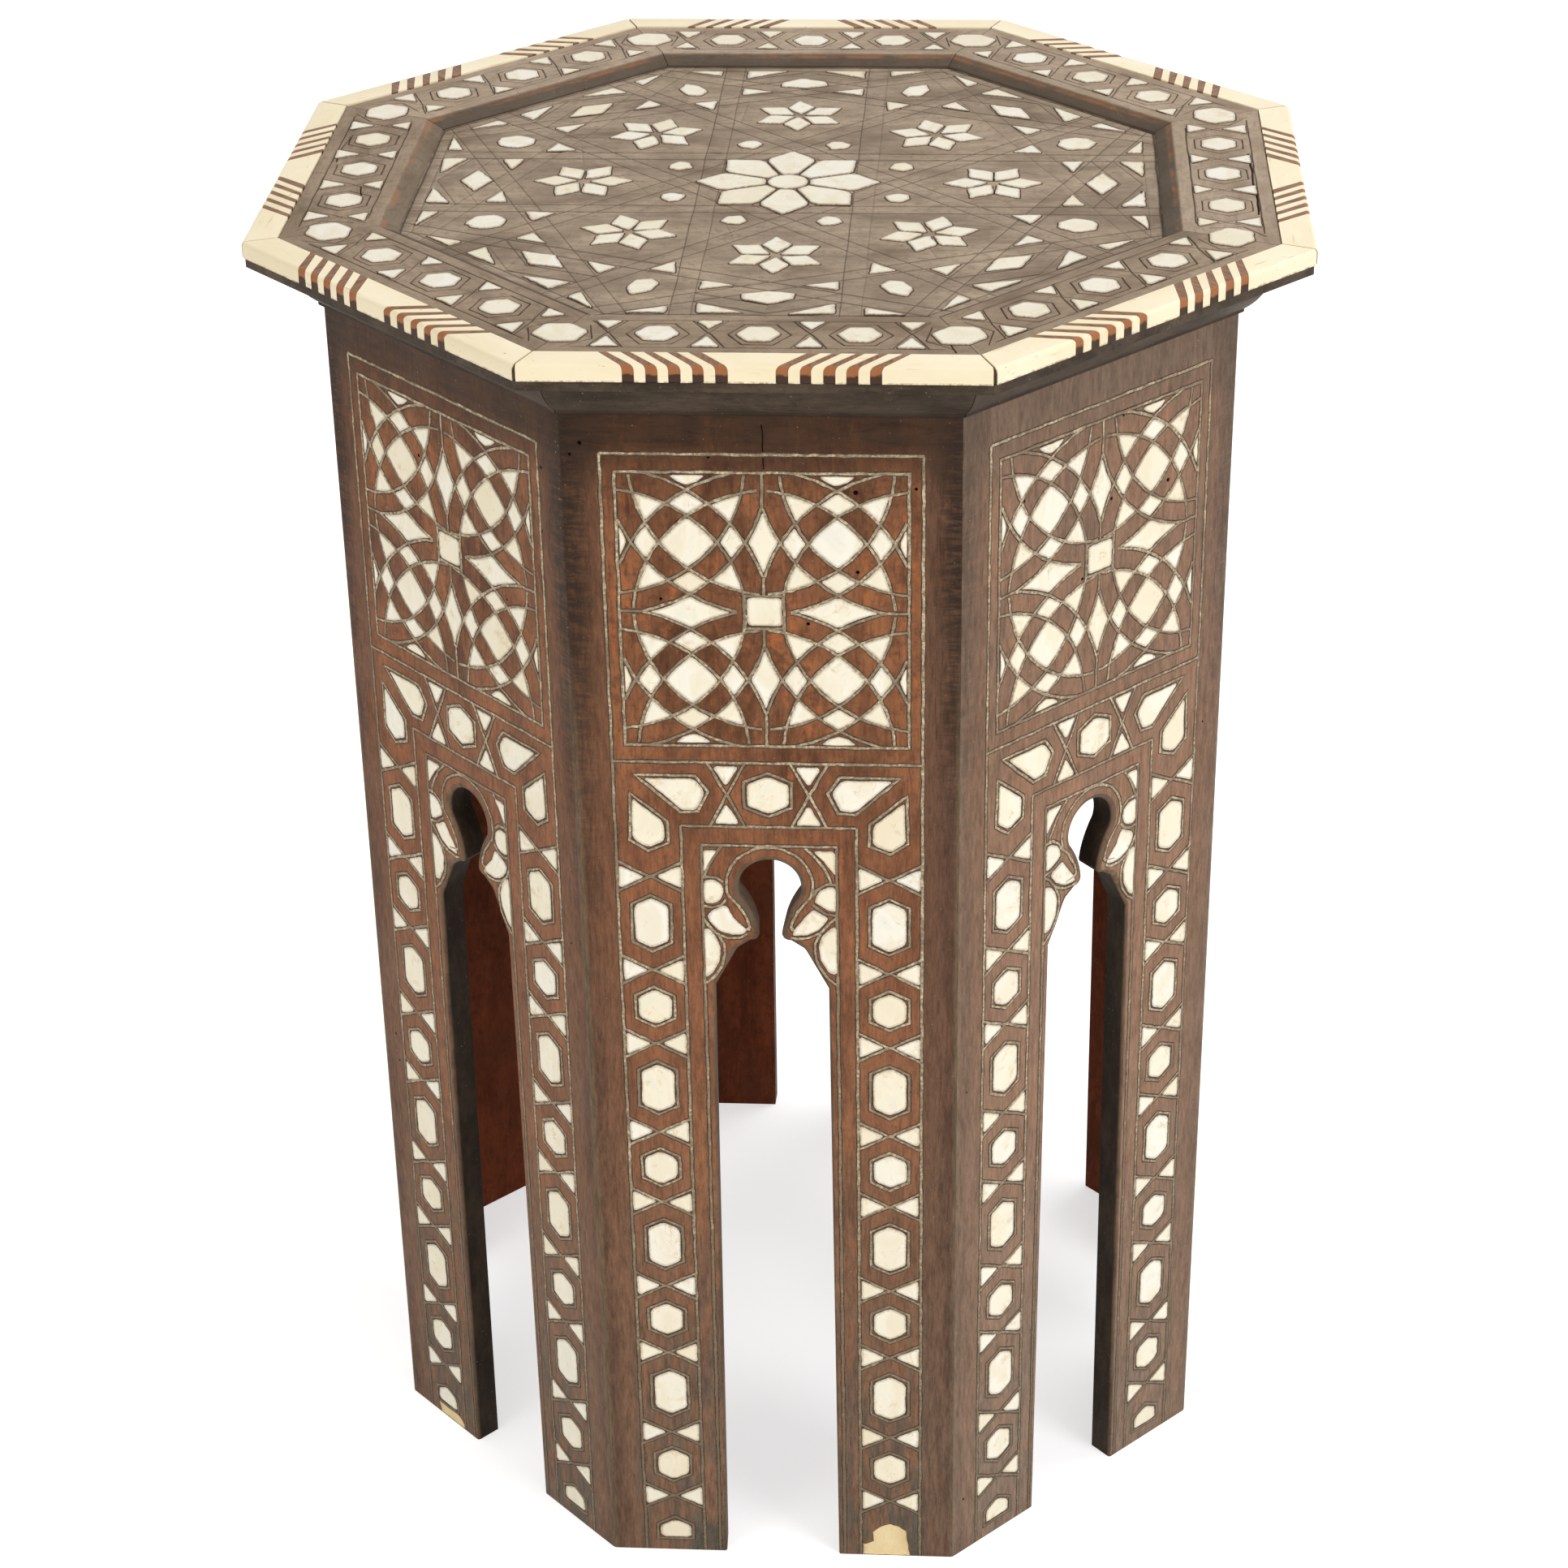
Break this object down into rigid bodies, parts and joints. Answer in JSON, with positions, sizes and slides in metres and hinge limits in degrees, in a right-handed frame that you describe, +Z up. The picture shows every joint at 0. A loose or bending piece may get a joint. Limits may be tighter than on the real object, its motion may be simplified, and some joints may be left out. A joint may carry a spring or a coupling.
{
  "type": "inlaid octagonal side table stool",
  "caption": "Octagonal inlaid wooden stool or side table: mitred arched panels, cornice, sunk top field, bone edging and shell inlay.",
  "frame": {"origin": "middle of the footprint, on the floor plane under the feet", "axes": "+Z up; -Y towards the front panel, which the picture faces; +X to the right seen from the front"},
  "size_m": [0.3632, 0.3632, 0.5],
  "materials": {
    "side_wood": "worn dark reddish brown, waxed",
    "top_wood": "dry greyish brown, open grain",
    "cornice_wood": "dark greyish brown, waxed",
    "inner_wood": "unfinished reddish brown",
    "bone": "polished ivory-coloured bone with dark stripes",
    "shell": "polished pearly white shell"
  },
  "bodies": {
    "root": {"side_panel_1": "side_wood", "corner_glue_block_1": "inner_wood", "cornice_moulding_1": "cornice_wood", "border_rail_1": "top_wood", "bone_edging_1": "bone", "corner_hexagon_inlay_1": "shell", "side_panel_2": "side_wood", "corner_glue_block_2": "inner_wood", "cornice_moulding_2": "cornice_wood", "border_rail_2": "top_wood", "bone_edging_2": "bone", "corner_hexagon_inlay_2": "shell", "side_panel_3": "side_wood", "corner_glue_block_3": "inner_wood", "cornice_moulding_3": "cornice_wood", "border_rail_3": "top_wood", "bone_edging_3": "bone", "corner_hexagon_inlay_3": "shell", "side_panel_4": "side_wood", "corner_glue_block_4": "inner_wood", "cornice_moulding_4": "cornice_wood", "border_rail_4": "top_wood", "bone_edging_4": "bone", "corner_hexagon_inlay_4": "shell", "side_panel_5": "side_wood", "corner_glue_block_5": "inner_wood", "cornice_moulding_5": "cornice_wood", "border_rail_5": "top_wood", "bone_edging_5": "bone", "corner_hexagon_inlay_5": "shell", "side_panel_6": "side_wood", "corner_glue_block_6": "inner_wood", "cornice_moulding_6": "cornice_wood", "border_rail_6": "top_wood", "bone_edging_6": "bone", "corner_hexagon_inlay_6": "shell", "side_panel_7": "side_wood", "corner_glue_block_7": "inner_wood", "cornice_moulding_7": "cornice_wood", "border_rail_7": "top_wood", "bone_edging_7": "bone", "corner_hexagon_inlay_7": "shell", "side_panel_8": "side_wood", "corner_glue_block_8": "inner_wood", "cornice_moulding_8": "cornice_wood", "border_rail_8": "top_wood", "bone_edging_8": "bone", "corner_hexagon_inlay_8": "shell", "top_board": "top_wood", "rosette_boss": "shell", "rosette_petal_1": "shell", "rosette_petal_2": "shell", "rosette_petal_3": "shell", "rosette_petal_4": "shell", "rosette_petal_5": "shell", "rosette_petal_6": "shell", "rosette_petal_7": "shell", "rosette_petal_8": "shell"}
  },
  "joints": []
}
